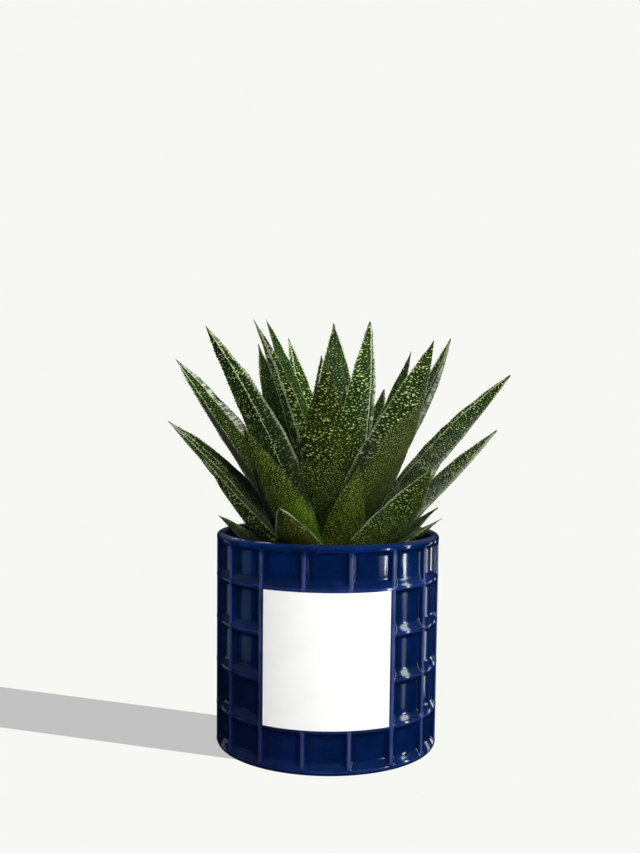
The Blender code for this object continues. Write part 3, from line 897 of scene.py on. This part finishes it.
def press_panels(pot):
    """Press in every other panel of every other row at a time, so that none touch."""
    def in_panel(face, odd_column, odd_row):
        spot = face.calc_center_median()
        if hypot(spot.x, spot.y) < FOOT_RADIUS - 0.6 * MM:
            return False
        column = round(np.arctan2(spot.x, -spot.y) / TILE) % COLUMNS
        rows = [r for r in range(len(RIB_LINES) - 1) if RIB_LINES[r] < spot.z < RIB_LINES[r + 1]]
        if not rows or (column in PATCH_COLUMNS and rows[0] in PATCH_ROWS):
            return False
        return column % 2 == odd_column and rows[0] % 2 == odd_row

    for odd_column in (0, 1):
        for odd_row in (0, 1):
            pick(pot, "FACE", lambda f: in_panel(f, odd_column, odd_row))
            for run, rise in ((CREST_HALF, 0), (RIB_SLOPE, -PANEL_DEPTH), (PANEL_FLAT, 0)):
                bpy.ops.mesh.inset(thickness=run, depth=rise)


def sharpen_corners(pot):
    """Hold the panels' corners tight: only their mitre edges run slanting on the wall."""
    def on_mitre(edge):
        one, other = edge.verts
        if min(hypot(v.co.x, v.co.y) for v in edge.verts) < INSIDE_RADIUS + 1 * MM:
            return False
        rise = abs(one.co.z - other.co.z)
        run = (one.co.xy.normalized() - other.co.xy.normalized()).length * FOOT_RADIUS
        return rise > 0.4 * run and run > 0.4 * rise

    pick(pot, "EDGE", on_mitre)
    bpy.ops.transform.edge_crease(value=0.55)


def ease_ledges(pot):
    """Make the lower side of each panel a gentle ledge, where the glaze has run down."""
    for inset, rise in ((PANEL_FLAT, 0.9 * LEDGE), (0.0, LEDGE)):
        heights = [low + CREST_HALF + RIB_SLOPE + inset for low in RIB_LINES[:-1]]
        pick(pot, "VERT", lambda v: (
            wall_radius(v.co.z) - hypot(v.co.x, v.co.y) > 1.7 * MM
            and hypot(v.co.x, v.co.y) > INSIDE_RADIUS + 1 * MM
            and min(abs(v.co.z - height) for height in heights) < 0.35 * MM))
        bpy.ops.transform.translate(value=(0, 0, rise))


# ---------------- label
LABEL_HALF = 31.4               # degrees to each side of the front
LABEL_BOTTOM = 24.9 * MM
LABEL_TOP = 97.8 * MM
LABEL_PROUD = 0.38 * MM         # from the glaze to the paper's back
PAPER = 0.30 * MM
PAPER_GREY = (0.875, 0.875, 0.87)
PAPER_WHITE = (0.90, 0.90, 0.895)


def paper_look():
    look, tree, shader = new_look("label paper")
    place = place_of(tree)
    fibre = noise_of(tree, place, 2600.0, 3.0, 0.6)
    cloud = noise_of(tree, place, 60.0, 2.0)
    tone = math_of(tree, "MULTIPLY_ADD", fibre, 0.35, cloud)
    colour = blend_of(tree, ramp_of(tree, tone, 0.4, 0.95), PAPER_GREY, PAPER_WHITE)
    feed_all(tree, shader, {
        "Base Color": colour, "Roughness": ramp_of(tree, fibre, 0.3, 0.7, 0.48, 0.60),
        "Specular IOR Level": 0.35})
    relief(tree, shader, fibre, 0.03 * MM, 0.5)
    return look


def make_label():
    """Bare white paper, laid smooth on the pot's plain patch."""
    deselect()
    bpy.ops.mesh.primitive_grid_add(x_subdivisions=48, y_subdivisions=24, size=1)
    label = bpy.context.object
    label.name = "paper_label"
    for vert in label.data.vertices:
        turn = radians(2 * LABEL_HALF * vert.co.x)
        z = LABEL_BOTTOM + (vert.co.y + 0.5) * (LABEL_TOP - LABEL_BOTTOM)
        slack = 0.06 * MM * noise.noise(Vector((turn * 4.0, 0.0, z * 30.0)))
        radius = wall_radius(z) + LABEL_PROUD + slack
        vert.co = (radius * sin(turn), -radius * cos(turn), z)
    edit(label)
    face_outwards()
    done()
    if label.data.polygons[0].normal.y > 0:
        label.data.flip_normals()
    modify(label, "SOLIDIFY", thickness=PAPER, offset=1.0)
    modify(label, "BEVEL", width=0.06 * MM, segments=1, limit_method="ANGLE")
    smooth(label, 40)
    hand_over(label, "label", paper_look())


# ---------------- soil and stem
PEAT = (0.030, 0.019, 0.011)
BARK = (0.075, 0.048, 0.028)
GRIT = (0.150, 0.100, 0.060)
STEM_DARK = (0.060, 0.045, 0.022)
STEM_PALE = (0.150, 0.120, 0.060)
STEM_SCAR = (0.035, 0.024, 0.012)


def soil_height(x, y):
    rise = on_ease(hypot(x, y), DISH_INNER, DISH_OUTER)
    lump = 0.9 * MM * noise.noise(Vector((x, y, 0.0)) * 170.0)
    crumb = 0.5 * MM * noise.noise(Vector((x, y, 0.3)) * 620.0)
    return SOIL_LEVEL - SOIL_DISH * (1 - rise) + lump + crumb


def soil_look():
    look, tree, shader = new_look("potting soil")
    place = place_of(tree)
    grain = noise_of(tree, place, 900.0, 4.0, 0.65)
    patch = noise_of(tree, place, 130.0, 3.0)
    colour = blend_of(tree, ramp_of(tree, patch, 0.35, 0.65), PEAT, BARK)
    colour = blend_of(tree, ramp_of(tree, grain, 0.55, 0.75, 0.0, 0.6), colour, GRIT)
    feed_all(tree, shader, {"Base Color": colour, "Roughness": 0.95, "Specular IOR Level": 0.2})
    relief(tree, shader, grain, 0.8 * MM)
    return look


def make_crumb():
    """One crumb of bark or peat, about one unit across, worked out of an icosphere."""
    deselect()
    bpy.ops.mesh.primitive_ico_sphere_add(subdivisions=2, radius=0.5)
    crumb = bpy.context.object
    edit(crumb)
    pick_all()
    bpy.ops.mesh.vertices_smooth(factor=0.3)
    scale_about(0, 1.0, 0.75, 0.55)
    for side in (Vector((1, 0.4, 0.3)), Vector((-0.5, 1, 0.2)), Vector((-0.3, -0.8, 0.5))):
        pick(crumb, "VERT", lambda v: v.co.dot(side.normalized()) > 0.26)
        scale_about(0, 0.8, 0.8, 0.8)
    done()
    return crumb


def make_soil():
    """Crumbly ground inside the pot, with loose crumbs lying on it."""
    deselect()
    bpy.ops.mesh.primitive_circle_add(vertices=96, radius=SOIL_RINGS[0] * MM, fill_type="NGON")
    soil = bpy.context.object
    soil.name = "potting_mix"
    edit(soil)
    for inner, outer in zip(SOIL_RINGS[:-1], SOIL_RINGS[1:]):
        pick(soil, "VERT", lambda v: abs(v.co.xy.length - inner * MM) < 5 * HAIR)
        bpy.ops.mesh.extrude_edges_move(TRANSFORM_OT_translate={"value": (0, 0, 0)})
        scale_about(0, outer / inner, outer / inner, 1)
    done()
    for vert in soil.data.vertices:
        vert.co.z = soil_height(vert.co.x, vert.co.y)
    edit(soil)
    pick(soil, "EDGE", lambda e: e.is_boundary)
    bpy.ops.mesh.extrude_edges_move(TRANSFORM_OT_translate={"value": (0, 0, -SOIL_DEPTH)})
    scale_about(SOIL_BOTTOM, 1, 1, 0)
    bpy.ops.mesh.edge_face_add()
    face_outwards()
    done()
    crumb = make_crumb()
    draw = Random(11)
    bits = []
    for _ in range(CRUMBS):
        only(crumb)
        bpy.ops.object.duplicate()
        bit = bpy.context.object
        way, reach = draw.uniform(0, 2 * pi), CRUMB_REACH * draw.uniform(0.16, 1.0) ** 0.6
        size = draw.uniform(1.2, 3.6) * MM
        x, y = reach * cos(way), reach * sin(way)
        bit.location = (x, y, soil_height(x, y) + 0.12 * size)
        bit.rotation_euler = [
            draw.uniform(-0.6, 0.6), draw.uniform(-0.6, 0.6), draw.uniform(0, 2 * pi)]
        bit.scale = (size, size * draw.uniform(0.7, 1.2), size * draw.uniform(0.7, 1.2))
        bits.append(bit)
    bpy.data.objects.remove(crumb, do_unlink=True)
    only(soil)
    for bit in bits:
        bit.select_set(True)
    bpy.ops.object.join()
    smooth(soil, 50)
    hand_over(soil, "soil", soil_look())


def stem_look():
    look, tree, shader = new_look("dry stem")
    place = place_of(tree)
    fibres = noise_of(tree, place, (900.0, 900.0, 160.0), 3.0)
    scars = noise_of(tree, place, (60.0, 60.0, 700.0), 2.0)
    colour = blend_of(tree, ramp_of(tree, fibres, 0.35, 0.65), STEM_DARK, STEM_PALE)
    colour = blend_of(tree, ramp_of(tree, scars, 0.5, 0.62, 0.0, 0.7), colour, STEM_SCAR)
    feed_all(tree, shader, {"Base Color": colour, "Roughness": 0.8})
    relief(tree, shader, math_of(tree, "ADD", fibres, scars), 0.5 * MM)
    return look


def dress_stem():
    """The stem keeps its solid form, for it is all but hidden, and gets its own look."""
    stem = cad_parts["stem"]
    stem.data.materials.clear()
    stem.data.materials.append(stem_look())


# ---------------- camera, floor, light
CAMERA_DISTANCE = 593.6 * MM
CAMERA_HEIGHT = 194.55 * MM
LOOK_DOWN, LOOK_ASIDE, ROLL = 0.01795, -0.00906, 0.01152     # radians
SENSOR_WIDTH = 36.0
FOCAL_PIXELS = 1012.55
FRAME_WIDTH = 640
BACKDROP = (0.930, 0.939, 0.896)
SKY_LOW = (0.004, 0.007, 0.012)     # what the glaze and the leaves mirror
SKY_HIGH = (0.15, 0.17, 0.19)
FILL = 0.25
FLOOR_SIZE = 60
FLOOR_TONE = (0.60, 0.60, 0.58)
SHADE = (0.539, 0.539, 0.536)
# The long shade's edges on the floor, each as y = level - slope * x
SHADE_FAR = (0.366, 16.9 * MM)
SHADE_NEAR = (0.3385, -54.5 * MM)
SHADE_FADES, SHADE_ENDS = 0.45, 1.8     # it thins out this far to the left, in metres
SHADE_SOFT = 0.3 * MM
PLANT_MIDDLE = Vector((0, 0, 0.12))


def set_camera():
    data = bpy.data.cameras.new("camera")
    data.sensor_fit = "HORIZONTAL"
    data.sensor_width = SENSOR_WIDTH
    data.lens = FOCAL_PIXELS * SENSOR_WIDTH / FRAME_WIDTH
    camera = bpy.data.objects.new("camera", data)
    bpy.context.scene.collection.objects.link(camera)
    level = Vector((sin(LOOK_ASIDE), cos(LOOK_ASIDE), 0))
    ahead = level * cos(LOOK_DOWN) - Vector((0, 0, sin(LOOK_DOWN)))
    right = Vector((cos(LOOK_ASIDE), -sin(LOOK_ASIDE), 0))
    up = right.cross(ahead)
    rolled_right = right * cos(ROLL) + up * sin(ROLL)
    rolled_up = up * cos(ROLL) - right * sin(ROLL)
    turn = Matrix((rolled_right, rolled_up, -ahead)).transposed().to_4x4()
    camera.matrix_world = Matrix.Translation((0, -CAMERA_DISTANCE, CAMERA_HEIGHT)) @ turn
    bpy.context.scene.camera = camera


def for_rays(tree, kind, others, shader):
    """One shader for one kind of ray, and another for all the others."""
    path = tree.nodes.new("ShaderNodeLightPath")
    mix = tree.nodes.new("ShaderNodeMixShader")
    sources = path.outputs[kind], others.outputs[0], shader.outputs[0]
    for socket, source in zip(mix.inputs, sources):
        feed(tree, socket, source)
    return mix


def set_world():
    """Plain pale surroundings. In reflections they are dark low down and pale high up."""
    world = bpy.data.worlds.new("studio")
    bpy.context.scene.world = world
    world.use_nodes = True
    tree = world.node_tree
    ground = tree.nodes["Background"]
    feed_all(tree, ground, {"Color": (*BACKDROP, 1), "Strength": 1.0})
    _, back, up = parts_of(tree, tree.nodes.new("ShaderNodeTexCoord").outputs["Generated"])
    behind = ramp_of(tree, back, -0.4, 0.7, 0.35, 1.0)
    high = times(tree, ramp_of(tree, up, 0.02, 0.45), behind)
    sky = tree.nodes.new("ShaderNodeBackground")
    feed_all(tree, sky, {"Color": blend_of(tree, high, SKY_LOW, SKY_HIGH)})
    fill = tree.nodes.new("ShaderNodeBackground")
    feed_all(tree, fill, {"Color": (1, 1, 1, 1), "Strength": FILL})
    both = for_rays(tree, "Is Glossy Ray", fill, sky)
    seen = for_rays(tree, "Is Camera Ray", both, ground)
    tree.links.new(seen.outputs[0], tree.nodes["World Output"].inputs["Surface"])


def set_floor():
    """A floor as pale as the backdrop, with one long flat shade going off to the left."""
    deselect()
    bpy.ops.mesh.primitive_plane_add(size=FLOOR_SIZE)
    floor = bpy.context.object
    floor.name = "floor"
    floor.visible_glossy = False
    look, tree, shader = new_look("pale floor")
    feed_all(tree, shader, {
        "Base Color": (*FLOOR_TONE, 1), "Roughness": 0.9, "Specular IOR Level": 0.0})
    place = place_of(tree)
    edge = SHADE_SOFT
    far = vector_of(tree, "DOT_PRODUCT", place, (SHADE_FAR[0], 1.0, 0.0))
    near = vector_of(tree, "DOT_PRODUCT", place, (SHADE_NEAR[0], 1.0, 0.0))
    left = vector_of(tree, "DOT_PRODUCT", place, (-1.0, 0.0, 0.0))
    shade = times(
        tree, ramp_of(tree, far, SHADE_FAR[1] + edge, SHADE_FAR[1] - edge),
        ramp_of(tree, near, SHADE_NEAR[1] - edge, SHADE_NEAR[1] + edge),
        ramp_of(tree, left, 0.0, 1 * MM), ramp_of(tree, left, SHADE_ENDS, SHADE_FADES))
    glow = tree.nodes.new("ShaderNodeEmission")
    tree.links.new(blend_of(tree, shade, BACKDROP, SHADE), glow.inputs["Color"])
    seen = for_rays(tree, "Is Camera Ray", shader, glow)
    tree.links.new(seen.outputs[0], tree.nodes["Material Output"].inputs["Surface"])
    floor.data.materials.append(look)


def area_light(name, size, radiance, tint=(1, 1, 1)):
    """A flat light with this radiance all over its face."""
    data = bpy.data.lights.new(name, "AREA")
    data.shape = "RECTANGLE"
    data.size, data.size_y = size
    data.energy = radiance * pi * size[0] * size[1]
    data.color = tint
    lamp = bpy.data.objects.new(name, data)
    bpy.context.scene.collection.objects.link(lamp)
    return lamp


def softbox(name, bearing, distance, low, high, width, radiance, tint=(1, 1, 1)):
    """An upright soft window round the pot, from one height to another."""
    lamp = area_light(name, (width, high - low), radiance, tint)
    way = radians(bearing)
    lamp.location = (distance * sin(way), -distance * cos(way), (low + high) / 2)
    lamp.rotation_euler = (radians(90), 0, way)
    return lamp


def overhead(name, place, size, radiance):
    """A soft light high up, turned to the middle of the pot and plant."""
    lamp = area_light(name, size, radiance)
    lamp.location = place
    way = PLANT_MIDDLE - Vector(place)
    lamp.rotation_euler = way.to_track_quat("-Z", "Y").to_euler()
    return lamp


def set_light():
    key = overhead("front key", (0.40, -1.0, 0.95), (0.7, 0.7), 12.5)
    side = overhead("top right", (0.8, 0.1, 1.0), (0.4, 0.4), 9.0)
    key.visible_glossy = side.visible_glossy = False
    overhead("back top", (-0.2, 0.9, 0.9), (0.8, 0.5), 1.5)
    spark = softbox("side spark", 89.5, 1.1, 0.38, 0.66, 0.17, 6.5, (0.88, 1.0, 0.96))
    spark.visible_diffuse = False
    softbox("window", 57, 1.2, -0.110, 0.25, 0.16, 1.1, (0.76, 0.78, 1.0))
    softbox("window edge", 61, 1.19, -0.10, 0.25, 0.035, 26.0, (0.86, 0.95, 1.0))
    softbox("bright window", 87, 1.2, -0.108, 0.30, 0.065, 15.0, (0.88, 1.0, 0.95))
    softbox("bright window foot", 88, 1.2, -0.33, -0.108, 0.10, 1.2, (0.8, 0.88, 1.0))
    softbox("far window", 128, 1.2, -0.30, 0.10, 0.10, 1.8)
    softbox("far window top", 141, 1.2, -0.11, 0.08, 0.06, 3.0, (0.88, 1.0, 0.95))
    softbox("left wall", -92, 1.2, -0.25, 0.10, 0.26, 0.22, (0.55, 0.92, 1.0))
    softbox("left back wall", -125, 1.2, -0.25, 0.10, 0.25, 0.30, (0.65, 0.92, 1.0))


# ---------------- all together
bpy.context.scene.view_settings.view_transform = "Standard"
set_camera()
set_world()
set_floor()
set_light()
make_pot()
make_label()
make_soil()
make_leaves()
dress_stem()
